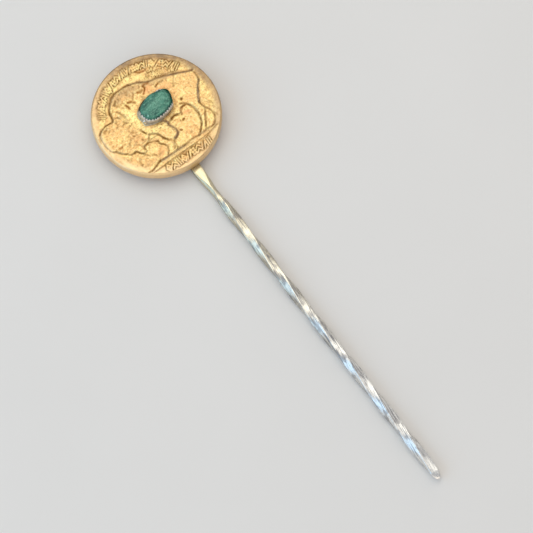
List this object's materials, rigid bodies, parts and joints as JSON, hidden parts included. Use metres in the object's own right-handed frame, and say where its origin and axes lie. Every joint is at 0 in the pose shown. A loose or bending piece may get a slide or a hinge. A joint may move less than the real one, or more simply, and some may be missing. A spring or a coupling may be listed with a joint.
{
  "type": "hat pin",
  "caption": "Hat pin with a gilt bison coin head, a green stone in a saw-tooth setting on its face, and a twisted square stem with a short blunt point.",
  "frame": {"origin": "on the stem's axis, level with the coin's lower edge, where the free stem begins", "axes": "+Z out of the coin's face, +Y from the point towards the head, +X to the right of a viewer facing the coin with the stem hanging down"},
  "size_m": [0.0212, 0.0837, 0.0051],
  "materials": {
    "gilt": "satin",
    "setting_silver": "satin",
    "stem_silver": "polished",
    "solder": "satin",
    "green_stone": "gloss"
  },
  "bodies": {
    "root": {"coin": "gilt", "bezel_base": "setting_silver", "bezel_strip": "setting_silver", "seam_solder": "solder", "bezel_solder": "solder", "stone": "green_stone", "stem": "stem_silver", "stem_solder": "solder"}
  },
  "joints": []
}
